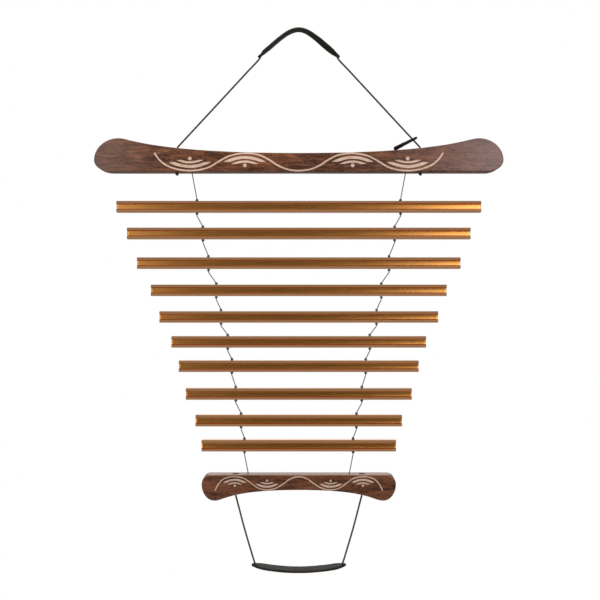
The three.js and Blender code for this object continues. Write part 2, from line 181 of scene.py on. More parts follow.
grainForm = {
    "noises": {
        "figure": ((8, 60, 55), 5, 0.6, 0.8, (0, math.radians(2), 0)),
        "fleck": ((32, 290, 270), 4, 0.6, 0.4),
        "pores": ((130, 2600, 2600), 2, 0.5),
        "bands": ((3.2, 95, 130), 3, 0.5, 1.6, (0, math.radians(-7), 0)),
        "mottle": ((110, 300, 300), 4, 0.6, 1.2, (0, math.radians(12), 0)),
    },
    "baseBand": (0.41, 0.59), "fleckBand": (0.5, 0.76, 0, 0.75), "streakBand": (0.56, 0.68),
    "poreBand": (0.56, 0.7), "poreShade": 0.42, "roughBand": (0.3, 0.7, 0.38, 0.3), "poreRoughness": 0.2,
    "poreHeight": -0.7, "fleckHeight": 0.6,
}
hazeForm = {
    "cloud": (((22, 40, 40), 4, 0.65, 0.6), (0.35, 0.7)),
    "smear": (((60, 300, 300), 3, 0.6), (0.25, 0.75)),
}
fibreForm = {
    "fuzz": ((2600, 2600, 2600), 3, 0.65), "fuzzBand": (0.35, 0.6, 0.35, 0),
    "patch": (((70, 70, 70), 2, 0.5), (0.45, 0.8, 0, 0.35)), "layBand": (0.1, 0.9), "bump": (0.00005, 0.5),
}


def makeWoodGrain(form):
    inputs = {"Position": "Vector", "Pale": "Color", "Middle": "Color", "Dark": "Color", "Streaks": "Float"}
    outputs = {"Color": "Color", "Roughness": "Float", "Height": "Float"}
    tree, given, out = nodeGroup("woodGrain", inputs, outputs)
    noise = {name: noiseNode(given["Position"], *kind) for name, kind in form["noises"].items()}
    both = plus(times(noise["figure"], 0.5), times(noise["mottle"], 0.5))
    base = mixColors(rangeNode(both, *form["baseBand"]), given["Dark"], given["Middle"])
    flecked = mixColors(rangeNode(noise["fleck"], *form["fleckBand"]), base, given["Pale"])
    streak = times(rangeNode(noise["bands"], *form["streakBand"]), given["Streaks"])
    streaked = mixColors(streak, flecked, given["Dark"])
    pore = rangeNode(noise["pores"], *form["poreBand"])
    shade = minus(1.0, times(pore, form["poreShade"]))
    grey = addNode("ShaderNodeCombineColor", {0: shade, 1: shade, 2: shade})[0]
    polish = rangeNode(noise["figure"], *form["roughBand"])
    fillSockets(out, {
        "Color": mixColors(1.0, streaked, grey, "MULTIPLY"),
        "Roughness": plus(polish, times(pore, form["poreRoughness"])),
        "Height": plus(times(noise["fleck"], form["fleckHeight"]), times(pore, form["poreHeight"])),
    })
    return tree


def makeHandledHaze(form):
    inputs = {"Position": "Vector", "Amount": "Float"}
    tree, given, out = nodeGroup("handledHaze", inputs, {"Haze": "Float"})
    cloud, smear = (bandNode(given["Position"], *form[name]) for name in ("cloud", "smear"))
    fillSockets(out, {"Haze": times(times(cloud, smear), given["Amount"])})
    return tree


def makeFibreLay(form):
    inputs = {"Position": "Vector", "Lay": "Float", "Crest": "Color", "Valley": "Color"}
    tree, given, out = nodeGroup("fibreLay", inputs, {"Color": "Color", "Height": "Float"})
    fuzz = noiseNode(given["Position"], *form["fuzz"])
    # painted shade: darker towards the valleys between strands, where the lay is low
    laid = mixColors(rangeNode(given["Lay"], *form["layBand"]), given["Valley"], given["Crest"])
    faded = mixColors(bandNode(given["Position"], *form["patch"]), laid, given["Crest"])
    fuzzed = mixColors(rangeNode(fuzz, *form["fuzzBand"]), faded, given["Valley"])
    fillSockets(out, {"Color": fuzzed, "Height": fuzz})
    return tree


woodGrain = makeWoodGrain(grainForm)
handledHaze = makeHandledHaze(hazeForm)
fibreLay = makeFibreLay(fibreForm)


# finishes

lowHeights = (-0.6, -0.22)  # from the lower beam up to just under the upper one, in metres
woodFinish = {
    "pale": (0.33, 0.124, 0.048, 1), "middle": (0.172, 0.060, 0.0245, 1), "dark": (0.052, 0.017, 0.007, 1),
    "streaks": 0.6, "haze": 0.12, "specular": 0.08, "bump": (0.00008, 0.6),
    # the pale edge colour: wear on the rounded edges, partly a painted highlight where they catch the light;
    # it also paints the sheen on the lower beam's top
    "wearAndSheen": (0.34, 0.20, 0.13, 1), "edgeWearAndHighlightShare": 0.45, "edgeWearAndHighlightBreak": (((90, 300, 300), 4, 0.65), (0.42, 0.68)),
    "edgeStart": (9.75, 10.35),  # edge rounding, as a distance from the middle of the depth
    "edgeEnd": (10.82, 10.98),
    "lowShade": (0.76, 0.75, 0.76, 1),  # darker towards the bottom, over the lower beam
    "lowTop": (-0.9, -0.3),  # the lower beam's top face, painted lighter as a sheen, as a height over that face
    "lowTopPaintedSheen": 0.35, "lowTopVarnish": 0.36,
    "faceDepth": (10.4, 10.95),  # flat faces, as a distance from the middle of the depth
    "varnish": 0.85, "varnishRoughness": 0.18,
    "paddleSheen": (0.26, 0.155, 0.115, 1),  # painted sheen: greyer at the ends of the upper beam, standing in for the reflection of the bright side light
    "paddleStart": (180, 240), "paddleSheenShare": 0.2,
}
engravedFinish = {
    "pale": (0.77, 0.58, 0.46, 1), "middle": (0.70, 0.50, 0.385, 1), "dark": (0.56, 0.38, 0.28, 1),
    "streaks": 0.2, "lowShade": (0.74, 0.74, 0.74, 1), "roughness": 0.8, "bump": (0.00006, 0.6),
}
bronzeFinish = {
    "rail": (0.80, 0.41, 0.19, 1),  # the rails, a little paler than the groove
    # painted shade: a deeper, more saturated colour in the trough, standing in for light bounced inside it
    "groove": (0.83, 0.34, 0.075, 1),
    "shade": (0.965, 0.96, 0.955, 1),  # faint clouds in the anodised skin
    "clouds": (((14, 120, 120), 3, 0.55), (0.4, 0.75)),
    "lines": ((9, 6500, 6500), 2, 0.5), "lineBand": (0.3, 0.7, 0.17, 0.19), "haze": 0.02, "bump": 0.0000005,
}
leatherFinish = {
    "face": (0.0135, 0.0100, 0.0063, 1), "worn": (0.040, 0.030, 0.021, 1), "haze": 1.0, "wear": 0.15,
    "wobble": ((300, 300, 300), 2, 0.5), "wobbleReach": 0.0012,
    "pebbles": {"Scale": 850, "Smoothness": 0.6}, "pebbleBand": (0.1, 0.75, 1, 0),
    "creases": (((240, 60, 240), 4, 0.6, 0.8), (0.42, 0.5)), "creaseHeight": 0.6,
    "roughBand": (0, 1, 0.66, 0.46), "specular": 0.15, "bump": (0.00014, 0.7),
}
# the darker colours are painted shade in the valleys between strands, and also the dark fuzz flecks
cordFinish = {"crest": (0.060, 0.058, 0.052, 1), "fuzzAndValleyShade": (0.016, 0.016, 0.015, 1), "roughness": 0.75}
stringFinish = {"crest": (0.105, 0.102, 0.095, 1), "fuzzAndValleyShade": (0.035, 0.034, 0.032, 1), "roughness": 0.8}


def placeGrain(position, finish):
    sockets = {name.capitalize(): finish[name] for name in ("pale", "middle", "dark", "streaks")}
    return placeGroup(woodGrain, {"Position": position, **sockets})


def placeHaze(position, finish):
    return placeGroup(handledHaze, {"Position": position, "Amount": finish["haze"]})["Haze"]


def makeDarkWood(finish):
    material, shader, position = newMaterial("oiledDarkWood")
    grain = placeGrain(position, finish)
    places = axesOf(position)
    out, aside = mathNode("ABSOLUTE", places["Y"]), mathNode("ABSOLUTE", places["X"])
    rise = rangeNode(out, *inMetres(finish["edgeStart"]))
    fall = rangeNode(out, *inMetres(finish["edgeEnd"]), 1, 0)
    # edge band: wear, partly a painted highlight where the rounded edges catch the light
    edgeWearAndHighlight = times(times(rise, fall), bandNode(position, *finish["edgeWearAndHighlightBreak"]))
    wearAndSheen = mixColors(times(edgeWearAndHighlight, finish["edgeWearAndHighlightShare"]), grain["Color"], finish["wearAndSheen"])
    low = rangeNode(places["Z"], *lowHeights, 1, 0)
    shaded = mixColors(low, wearAndSheen, finish["lowShade"], "MULTIPLY")
    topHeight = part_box("lower_beam")[1].z
    onTop = times(rangeNode(places["Z"], *(topHeight + z * mm for z in finish["lowTop"])), low)
    # painted sheen: the lower beam's top face is mixed towards the pale edge colour, standing in for light
    # from above and grazing reflection
    topSheened = mixColors(times(onTop, finish["lowTopPaintedSheen"]), shaded, finish["wearAndSheen"])
    # painted sheen towards the ends of the upper beam
    ends = rangeNode(aside, *inMetres(finish["paddleStart"]), 0, finish["paddleSheenShare"])
    face = rangeNode(out, *inMetres(finish["faceDepth"]))
    topCoat = times(onTop, finish["lowTopVarnish"])
    fillSockets(shader, {
        "Base Color": mixColors(ends, topSheened, finish["paddleSheen"]),
        "Roughness": plus(grain["Roughness"], placeHaze(position, finish)),
        "Specular IOR Level": finish["specular"],
        "Coat Weight": mathNode("MAXIMUM", times(face, finish["varnish"]), topCoat),
        "Coat Roughness": finish["varnishRoughness"],
        "Normal": bumpNode(grain["Height"], *finish["bump"]),
    })
    return material


def makeEngravedWood(finish):
    material, shader, position = newMaterial("engravedPaleWood")
    grain = placeGrain(position, finish)
    low = rangeNode(axesOf(position)["Z"], *lowHeights, 1, 0)
    fillSockets(shader, {
        "Base Color": mixColors(low, grain["Color"], finish["lowShade"], "MULTIPLY"),
        "Roughness": finish["roughness"],
        "Normal": bumpNode(grain["Height"], *finish["bump"]),
    })
    return material


def makeBronze(finish):
    material, shader, position = newMaterial("satinBronzeMetal")
    lines = noiseNode(position, *finish["lines"])
    # painted shade: the trough gets the deeper colour
    skin = mixColors(pointValue(shader, "groove"), finish["rail"], finish["groove"])
    fillSockets(shader, {
        "Base Color": mixColors(bandNode(position, *finish["clouds"]), skin, finish["shade"], "MULTIPLY"),
        "Roughness": plus(rangeNode(lines, *finish["lineBand"]), placeHaze(position, finish)),
        "Metallic": 1.0,
        "Normal": bumpNode(lines, finish["bump"]),
    })
    return material


def makeLeather(finish):
    material, shader, position = newMaterial("blackLeather")
    offset = vectorNode(times(noiseNode(position, *finish["wobble"]), finish["wobbleReach"]))
    shifted = addNode("ShaderNodeVectorMath", {0: position, 1: offset}, operation="ADD")[0]
    sockets = {"Vector": shifted, **finish["pebbles"]}
    cells = addNode("ShaderNodeTexVoronoi", sockets, feature="SMOOTH_F1")["Distance"]
    pebble = rangeNode(cells, *finish["pebbleBand"])
    crease = bandNode(position, *finish["creases"])
    worn = times(plus(placeHaze(position, finish), finish["wear"]), pebble)
    height = plus(pebble, times(crease, finish["creaseHeight"]))
    fillSockets(shader, {
        "Base Color": mixColors(worn, finish["face"], finish["worn"]),
        "Roughness": rangeNode(pebble, *finish["roughBand"]),
        "Specular IOR Level": finish["specular"],
        "Normal": bumpNode(height, *finish["bump"]),
    })
    return material


def makeFibre(name, finish):
    material, shader, position = newMaterial(name)
    colors = {"Crest": finish["crest"], "Valley": finish["fuzzAndValleyShade"]}
    fibre = placeGroup(fibreLay, {"Position": position, "Lay": pointValue(shader, "lay"), **colors})
    fillSockets(shader, {
        "Base Color": fibre["Color"],
        "Roughness": finish["roughness"],
        "Normal": bumpNode(fibre["Height"], *fibreForm["bump"]),
    })
    return material


darkWood = makeDarkWood(woodFinish)
engravedWood = makeEngravedWood(engravedFinish)
bronzeMetal = makeBronze(bronzeFinish)
blackLeather = makeLeather(leatherFinish)
blackCord = makeFibre("blackBraidedCord", cordFinish)
barTwine = makeFibre("greyTwistedString", stringFinish)
print("finishes made")


# mesh helpers

smoothAngles = {"fibre": 80, "leather": 50, "beam": 32, "bar": 28}  # sharper edges stay edges


def addPiece(name, mesh):
    piece = bpy.data.objects.new(name, mesh)
    scene.collection.objects.link(piece)
    return piece


def meshOf(name, points, faces=(), edges=(), material=None):
    mesh = bpy.data.meshes.new(name)
    mesh.from_pydata((np.asarray(points, float) * mm).tolist(), edges, faces)
    if material:
        mesh.materials.append(material)
    return mesh


def keepValues(mesh, name, values):
    values = np.asarray(values, np.float32).ravel()
    mesh.attributes.new(name, "FLOAT", "POINT").data.foreach_set("value", values)


def evaluatedMesh(piece):
    graph = bpy.context.evaluated_depsgraph_get()
    return bpy.data.meshes.new_from_object(piece.evaluated_get(graph))


def finishPiece(piece, smooth, body, slot, *nodes):
    piece.data.shade_smooth()
    piece.data.set_sharp_from_angle(angle=math.radians(smoothAngles[smooth]))
    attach(piece, body)
    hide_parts(*nodes)


def cutAway(piece, cutter):
    modifier = piece.modifiers.new("cut", "BOOLEAN")
    modifier.operation = "DIFFERENCE"
    modifier.solver = "EXACT"
    modifier.material_mode = "TRANSFER"
    modifier.object = cutter
    mesh = evaluatedMesh(piece)
    piece.modifiers.clear()
    old = piece.data
    piece.data = mesh
    mesh.name = piece.name
    bpy.data.meshes.remove(old)
    bpy.data.meshes.remove(cutter.data)


def ringFaces(rings, around, closed):
    faces = []
    for ring in range(rings if closed else rings - 1):
        near, far = ring * around, (ring + 1) % rings * around
        for i in range(around):
            j = (i + 1) % around
            faces.append((near + i, near + j, far + j, far + i))
    return faces


def loftMesh(name, rings, material, closed=False):
    rings = np.asarray(rings)
    count, around = rings.shape[:2]
    faces = ringFaces(count, around, closed)
    if not closed:
        faces.append(tuple(reversed(range(around))))
        faces.append(tuple(range((count - 1) * around, count * around)))
    return meshOf(name, rings.reshape(-1, 3), faces, material=material)


def joinMeshes(name, meshes):
    pieces = [addPiece(f"{name}Part{i}", mesh) for i, mesh in enumerate(meshes)]
    with bpy.context.temp_override(active_object=pieces[0], selected_editable_objects=pieces):
        bpy.ops.object.join()
    pieces[0].name = name
    pieces[0].data.name = name
    return pieces[0]


# paths

spanSteps = 40  # points from one given point of a path to the next


def roundTurn(steps):
    return np.linspace(0, 2 * math.pi, steps, endpoint=False)


def oval(angle, x, y, wide, high):
    return np.stack([x + wide * np.cos(angle), y + high * np.sin(angle)], axis=1)


def unit(vectors):
    return vectors / np.linalg.norm(vectors, axis=1)[:, None]


def cubic(handles, steps):
    a, b, c, d = np.array(handles, float)
    t = np.linspace(0, 1, steps)[:, None]
    return (1 - t) ** 3 * a + 3 * (1 - t) ** 2 * t * b + 3 * (1 - t) * t**2 * c + t**3 * d


def throughPoints(points):
    points = np.asarray(points, float)
    whole = np.vstack([2 * points[0] - points[1], points, 2 * points[-1] - points[-2]])
    part = np.linspace(0, 1, spanSteps, endpoint=False)[:, None]
    fine = []
    for before, start, end, after in zip(whole, whole[1:], whole[2:], whole[3:]):
        first, second, third = (
            math.sqrt(np.linalg.norm(b - a)) for a, b in ((before, start), (start, end), (end, after))
        )
        run = (end - start) / second
        leave = ((start - before) / first - (end - before) / (first + second) + run) * second
        arrive = (run - (after - start) / (second + third) + (after - end) / third) * second
        curve = start + leave * part + (3 * (end - start) - 2 * leave - arrive) * part**2
        fine.append(curve + (2 * (start - end) + leave + arrive) * part**3)
    return np.vstack([*fine, points[-1:]])


def evenPath(line, step):
    along = np.concatenate([[0], np.cumsum(np.linalg.norm(np.diff(line, axis=0), axis=1))])
    at = np.linspace(0, along[-1], max(2, round(along[-1] / step) + 1))
    return np.stack([np.interp(at, along, line[:, k]) for k in range(3)], axis=1), at


def pathFrames(line):
    along = unit(np.gradient(line, axis=0))
    side = np.tile([0.0, 1.0, 0.0], (len(line), 1))  # every path here lies in the plane of the chime
    return along, side, np.cross(along, side)


def spokes(angle, side, up):
    return np.cos(angle)[None, :, None] * side[:, None] + np.sin(angle)[None, :, None] * up[:, None]


# cords: a hollow braid of eight strands, four each way

cordForm = {
    "diameter": 2.5, "strands": 4, "strandPitch": 1.8, "relief": 0.18, "crossing": 0.25, "tip": 0.02,
    "sides": 24, "step": 0.34,
}
hangerCordForm = {
    "bore": 159,
    "halfSpan": 53.25,
    "route": [
        (2.329, -114.7), (1.671, -76.8), (1.239, -51.9), (0.969, -36.3), (0.92, -31.2), (0.881, -26.5),
        (0.817, -23.2), (0.706, -18.2), (0.53, -10.1), (0.344, -2.65), (0.24, 0.6), (0.126, 3.05), (0, 4.05),
    ],
}
handleCordForm = {
    "bore": 82.5,
    "halfSpan": 61.5,
    "route": [
        (1.255, -48.1), (1.161, -70.1), (1.057, -92.1), (0.946, -114.5), (0.92, -118.7), (0.876, -122.5),
        (0.8, -124), (0.688, -125.2), (0.493, -126.8), (0.296, -127.9), (0.099, -128.4), (0, -128.45),
    ],
}
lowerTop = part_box("lower_beam")[1].z * 1000


def wholeRoute(form, height, base):
    half = [(form["bore"], 0, height)]
    half += [(share * form["halfSpan"], 0, base + z) for share, z in form["route"]]
    return half + [(-x, y, z) for x, y, z in reversed(half[:-1])]


def braidMesh(name, line, form, material):
    path, at = evenPath(line, form["step"])
    _, side, up = pathFrames(path)
    angle = roundTurn(form["sides"])
    around = form["strands"] * angle[None, :]
    turn = 2 * math.pi * at[:, None] / form["strandPitch"]
    lift = form["crossing"] * np.cos(around)
    one = (0.5 + 0.5 * np.cos(around + turn)) * (1 - form["crossing"] + lift)
    other = (0.5 + 0.5 * np.cos(around - turn)) * (1 - form["crossing"] - lift)
    lay = np.maximum(one, other)
    ends = np.minimum(at, at[-1] - at)[:, None] / (form["diameter"] / 2)
    rounded = np.sqrt(np.clip(1 - (1 - np.clip(ends, form["tip"], 1)) ** 2, 0, 1))
    radius = form["diameter"] / 2 * (1 - form["relief"] + form["relief"] * lay) * rounded
    mesh = loftMesh(name, path[:, None] + radius[..., None] * spokes(angle, side, up), material)
    keepValues(mesh, "lay", lay)
    return mesh, path


def makeCord(name, node, body, form, height, base):
    line = throughPoints(wholeRoute(form, height, base))
    mesh, path = braidMesh(name, line, cordForm, blackCord)
    cord = addPiece(name, mesh)
    finishPiece(cord, "fibre", body, "black_cord", node)
    return path


hangerTop, handleTop = pivots["upper_beam_tilt"][2], pivots["handle_swing"][2]
hangerPath = makeCord("hangerCord", "hanger_cord", "hanger", hangerCordForm, hangerTop, 0)
handlePath = makeCord("handleCord", "handle_cord", "handle", handleCordForm, handleTop, lowerTop)
print("cords made")


# leather straps and tab

hangerStrapForm = {
    "width": 12, "thickness": 2.8, "end": 21, "span": 106.5, "rise": 35.3, "crown": 17, "flareOut": 18,
    "flareUp": 11.5, "twist": -20, "twistFrom": 0.5, "twistTo": 0.78, "middle": 1.4, "rings": 150,
    "around": 40, "waver": 0.16, "skive": 4.0, "holeAt": 48, "seed": 3,
}
handleStrapForm = {
    "width": 24, "thickness": 3.2, "end": 18, "span": 123, "rise": -7, "crown": 22, "flareOut": 19.5,
    "flareUp": 4.5, "twist": 0, "twistFrom": 0, "twistTo": 1, "middle": -125.6, "rings": 150,
    "around": 48, "waver": 0.2, "skive": 9.0, "holeAt": 54.5, "seed": 5,
}
tabForm = {
    "length": 34, "width": 8, "thickness": 2.8, "end": 2.6, "hole": 6.2, "slope": 27, "twist": 22,
    "twistFrom": 0, "twistTo": 1, "rings": 70, "around": 36, "waver": 0.12, "skive": 1.2, "seed": 7,
}
leatherForm = {
    "tip": 0.24, "tipThickness": 0.55, "swell": 0.03, "edgeWide": 0.22, "edgeHigh": 0.4, "cordPlay": 0.25,
    "holeReach": 14, "holeStep": 0.8, "holeSides": 24, "archSteps": 200, "lineStep": 0.05,
    "wanderWaves": (2, 3), "swellWaves": (3, 4),  # the first wave's count along the strip, then the step
}


def archLine(form, base):
    tip, way = form["span"] / 2, math.copysign(1, form["rise"])
    flared = (tip - form["flareOut"], way * form["flareUp"] - form["rise"])
    half = cubic([(0, 0), (form["crown"], 0), flared, (tip, -form["rise"])], leatherForm["archSteps"])
    flat = np.vstack([half[:0:-1] * (-1, 1), half])
    return np.stack([flat[:, 0], 0 * flat[:, 0], flat[:, 1] + form["middle"] + base], axis=1)


def waveSum(share, first, step, starts):
    turns = [2 * math.pi * (first + step * k) * share + start for k, start in enumerate(starts)]
    return sum(np.sin(turn) / (k + 1) for k, turn in enumerate(turns))


def signedPower(values, power):
    return np.sign(values) * np.abs(values) ** power


def leatherMesh(name, line, form):
    full, at = evenPath(line, leatherForm["lineStep"])
    share = (1 - np.cos(np.linspace(0, math.pi, form["rings"]))) / 2
    spots = np.interp(share * at[-1], at, np.arange(len(at)))
    path = np.stack([np.interp(spots, np.arange(len(at)), full[:, k]) for k in range(3)], axis=1)
    along, level, _ = pathFrames(path)
    turn = np.clip((share - form["twistFrom"]) / (form["twistTo"] - form["twistFrom"]), 0, 1)
    if form["twistFrom"] > 0:
        turn = turn**2 * (3 - 2 * turn)
    turn = np.radians(form["twist"]) * turn[:, None]
    across = np.cos(turn) * level + np.sin(turn) * np.cross(along, level)
    up = np.cross(along, across)
    fromEnd = np.minimum(share, 1 - share) * at[-1]
    tapered = np.sin(math.pi / 2 * np.clip(fromEnd / form["end"], 0, 1))
    rounded = leatherForm["tip"] + (1 - leatherForm["tip"]) * tapered
    skived = np.sqrt(1 - (1 - np.clip(fromEnd / form["skive"], 0, 1)) ** 2)
    thin = leatherForm["tipThickness"] + (1 - leatherForm["tipThickness"]) * skived
    waves = np.random.default_rng(form["seed"]).uniform(0, 2 * math.pi, (2, 3))
    wander = waveSum(share, *leatherForm["wanderWaves"], waves[0])
    swell = waveSum(share, *leatherForm["swellWaves"], waves[1])
    angle = roundTurn(form["around"])
    wide = signedPower(np.cos(angle), leatherForm["edgeWide"])
    high = signedPower(np.sin(angle), leatherForm["edgeHigh"])
    half = form["width"] / 2 * rounded
    shift = form["waver"] * wander * rounded
    thick = form["thickness"] / 2 * thin * (1 + leatherForm["swell"] * swell)
    place = half[:, None] * wide[None, :] + shift[:, None]
    rings = path[:, None] + place[..., None] * across[:, None]
    rings = rings + (thick[:, None] * high[None, :])[..., None] * up[:, None]
    return loftMesh(name, rings, blackLeather)


def holeCutter(path, middle):
    near = path[np.linalg.norm(path - middle, axis=1) < leatherForm["holeReach"]]
    line, _ = evenPath(near, leatherForm["holeStep"])
    _, side, up = pathFrames(line)
    radius = cordForm["diameter"] / 2 + leatherForm["cordPlay"]
    rings = line[:, None] + radius * spokes(roundTurn(leatherForm["holeSides"]), side, up)
    return loftMesh("holeCutter", rings, None)


def makeLeatherPiece(name, node, body, line, form, path, holes):
    piece = addPiece(name, leatherMesh(name, line, form))
    for middle in holes:
        cutAway(piece, addPiece("holeCutter", holeCutter(path, middle)))
    finishPiece(piece, "leather", body, "black_leather", node)


def makeStrap(name, node, body, form, path, base):
    holes = [path[np.argmin(np.abs(path[:, 0] - side * form["holeAt"]))] for side in (-1, 1)]
    makeLeatherPiece(name, node, body, archLine(form, base), form, path, holes)


def makeTab(form):
    slope, place = math.radians(form["slope"]), pivots["tab_swivel"]
    down = -np.array([math.cos(slope), 0, math.sin(slope)])
    line = np.array([place - down * form["hole"], place + down * (form["length"] - form["hole"])])
    makeLeatherPiece("cordTab", "cord_tab", "tab", line, form, hangerPath, [place])


makeStrap("hangerStrap", "hanger_strap", "hanger", hangerStrapForm, hangerPath, 0)
makeStrap("handleStrap", "handle_strap", "handle", handleStrapForm, handlePath, lowerTop)
makeTab(tabForm)
print("leather made")


# geometry node helpers

def geometryTree(name, inputs):
    shape = {"Geometry": "Geometry"}
    return nodeGroup(name, {**shape, **inputs}, shape, "GeometryNodeTree")


def shapeNode(kind, sockets, **settings):
    return addNode(f"GeometryNode{kind}", sockets, **settings)[0]


def runTree(tree, name, source, values):
    host = addPiece(name, source)
    modifier = host.modifiers.new("build", "NODES")
    modifier.node_group = tree
    for item in tree.interface.items_tree:
        if item.in_out == "INPUT" and item.name in values:
            modifier[item.identifier] = values[item.name]
    mesh = evaluatedMesh(host)
    mesh.name = name
    bpy.data.objects.remove(host)
    return mesh


def closeTree(geometry, finish, out):
    real = shapeNode("RealizeInstances", {0: geometry})
    fillSockets(out, {"Geometry": shapeNode("SetMaterial", {"Geometry": real, "Material": finish})})


# chime bars: one grooved section, cut to the lengths of a five-note scale

barForm = {
    "semitones": [0, 2, 4, 7, 9, 12, 14, 16, 19, 21], "longest": 475, "semitoneShare": 0.0432,
    "stillShare": 0.22, "height": 15, "depth": 14, "rail": 3.6, "slant": 2.1, "trough": 4.0, "floor": 4.6,
    "bore": 3.4, "boreSides": 28, "drillLength": 40, "chamfer": 0.45, "endShrink": 0.045, "crest": 0.5,
    "lip": 0.5, "curveSteps": 10, "edgeSteps": 4, "stops": 6, "grooveRamp": 1.4,
}


def bend(start, handle, end, steps):
    t = np.linspace(0, 1, steps, endpoint=False)[:, None]
    a, b, c = np.array([start, handle, end], float)
    return (1 - t) ** 2 * a + 2 * (1 - t) * t * b + t**2 * c


def barSection(form):
    top, front = form["height"] / 2, form["depth"] / 2
    lip, floor = top - form["rail"], front - form["trough"]
    slope = unit(np.array([[form["slant"], -form["rail"]]]))[0]  # down the upper rail, from crest to lip
    crest, edge = np.array([front - form["slant"], top]), np.array([front, lip])
    inner, outer = (front - form["lip"], lip), crest - (form["crest"], 0)
    upper = np.vstack([
        [(floor, 0)],
        bend((floor, form["floor"] / 2), (floor, lip), inner, form["curveSteps"]),
        bend(inner, edge, edge - slope * form["lip"], form["edgeSteps"]),
        bend(crest + slope * form["crest"], crest, outer, form["edgeSteps"]),
        [outer],
    ])
    lower = upper[:0:-1] * (1, -1)
    right = np.vstack([lower, upper])
    return np.vstack([right, -right])


def makeBarTree(form):
    names = ("Length", "Chamfer", "Bore", "Still point")
    tree, given, out = geometryTree("groovedBar", {**dict.fromkeys(names, "Float"), "Finish": "Material"})
    section = shapeNode("MeshToCurve", {0: given["Geometry"]})
    half = times(given["Length"], 0.5)
    ends = {"Start": vectorNode(times(half, -1.0)), "End": vectorNode(half)}
    line = shapeNode("CurvePrimitiveLine", ends)
    stops = shapeNode("ResampleCurve", {"Curve": line, "Count": form["stops"]})
    central = (form["stops"] - 1) / 2
    place = minus(tree.nodes.new("GeometryNodeInputIndex").outputs[0], central)
    fromEnd = minus(central, mathNode("ABSOLUTE", place))  # 0, 1 or 2 stops
    inset = times(times(fromEnd, fromEnd), given["Chamfer"])
    reach = times(mathNode("SIGN", place), minus(half, inset))
    spaced = shapeNode("SetPosition", {"Geometry": stops, "Position": vectorNode(reach)})
    level = shapeNode("SetCurveNormal", {"Curve": spaced}, mode="Z_UP")
    outer = mathNode("LESS_THAN", fromEnd, 0.5)
    scale = minus(1.0, times(outer, form["endShrink"]))
    sockets = {"Curve": level, "Profile Curve": section, "Scale": scale, "Fill Caps": True}
    cut = shapeNode("CurveToMesh", sockets)
    size = {"Radius": times(given["Bore"], 0.5), "Depth": form["drillLength"] * mm}
    drill = shapeNode("MeshCylinder", {"Vertices": form["boreSides"], **size})
    for way in (-1.0, 1.0):
        move = vectorNode(times(given["Still point"], way))
        moved = shapeNode("Transform", {"Geometry": drill, "Translation": move})
        sockets = {"Mesh 1": cut, "Mesh 2": moved}
        cut = shapeNode("MeshBoolean", sockets, operation="DIFFERENCE", solver="EXACT")
    closeTree(cut, given["Finish"], out)
    return tree


def barLength(semitone):
    return barForm["longest"] * 2 ** (-semitone * barForm["semitoneShare"])


def stillPoint(semitone):
    return (0.5 - barForm["stillShare"]) * barLength(semitone)


barTree = makeBarTree(barForm)
barMiddles = []
section = barSection(barForm)
sectionEdges = [(i, (i + 1) % len(section)) for i in range(len(section))]
lip = barForm["height"] / 2 - barForm["rail"]
# share inside the trough, where the painted groove shade goes
inside = np.clip((lip - np.abs(section[:, 1])) / barForm["grooveRamp"], 0, 1)
for number, semitone in enumerate(barForm["semitones"], 1):
    source = meshOf("section", np.column_stack([section, np.zeros(len(section))]), edges=sectionEdges)
    keepValues(source, "groove", inside)
    mesh = runTree(barTree, f"chimeBar{number}", source, {
        "Length": barLength(semitone) * mm,
        "Chamfer": barForm["chamfer"] * mm,
        "Bore": barForm["bore"] * mm,
        "Still point": stillPoint(semitone) * mm,
        "Finish": bronzeMetal,
    })
    low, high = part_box(f"chime_bar_{number}")
    middle = (low.z + high.z) / 2
    barMiddles.append(middle * 1000)
    for vertex in mesh.vertices:
        vertex.co.z += middle
    bar = addPiece(f"chimeBar{number}", mesh)
    finishPiece(bar, "bar", f"bar_{number}", "bronze_metal", f"chime_bar_{number}")
print("bars made:", len(barMiddles))


# knots: a drawn-up overhand knot, set on points

knotForm = {
    "ring": 0.48, "weave": 0.2, "rise": 0.38, "strand": 0.32, "along": 84, "around": 10,
    "levels": (-1, -0.2, 0.4, 1), "spread": (0.58, 0.84, 1.0, 1.2),  # drawn wide against what it bears on
    "lay": (0.55, 0.45), "layTurns": (7, 2),
}
stringKnotForm = {"width": 4.4, "height": 3.0, "gap": 0.3}
cordKnotForm = {"width": 5.2, "height": 3.6, "gap": 0.3, "sink": 0.0}
flatKnotForm = {"width": 7.4, "height": 2.8, "gap": 0.3, "sink": 3.5}
knotSeeds = {"under": 50, "cordEnd": 20, "stringEnd": 40}  # added to a stretch's number or a side's sign


def overhandMesh(form):
    t = roundTurn(form["along"])
    reach = form["ring"] + form["weave"] * np.cos(3 * t)
    path = np.stack([reach * np.cos(2 * t), reach * np.sin(2 * t), form["rise"] * np.sin(3 * t)], axis=1)
    along = unit(np.roll(path, -1, axis=0) - np.roll(path, 1, axis=0))
    side = unit(np.cross(along, path * (1, 1, 0)))
    angle = roundTurn(form["around"])
    rings = path[:, None] + form["strand"] * spokes(angle, side, np.cross(along, side))
    widths = np.interp(rings[..., 2] / (form["rise"] + form["strand"]), form["levels"], form["spread"])
    rings[..., :2] *= widths[..., None]
    mesh = loftMesh("overhandKnot", rings / mm, None, closed=True)
    turns = form["layTurns"][0] * t[:, None] + form["layTurns"][1] * angle[None, :]
    keepValues(mesh, "lay", form["lay"][0] + form["lay"][1] * np.cos(turns))
    return mesh


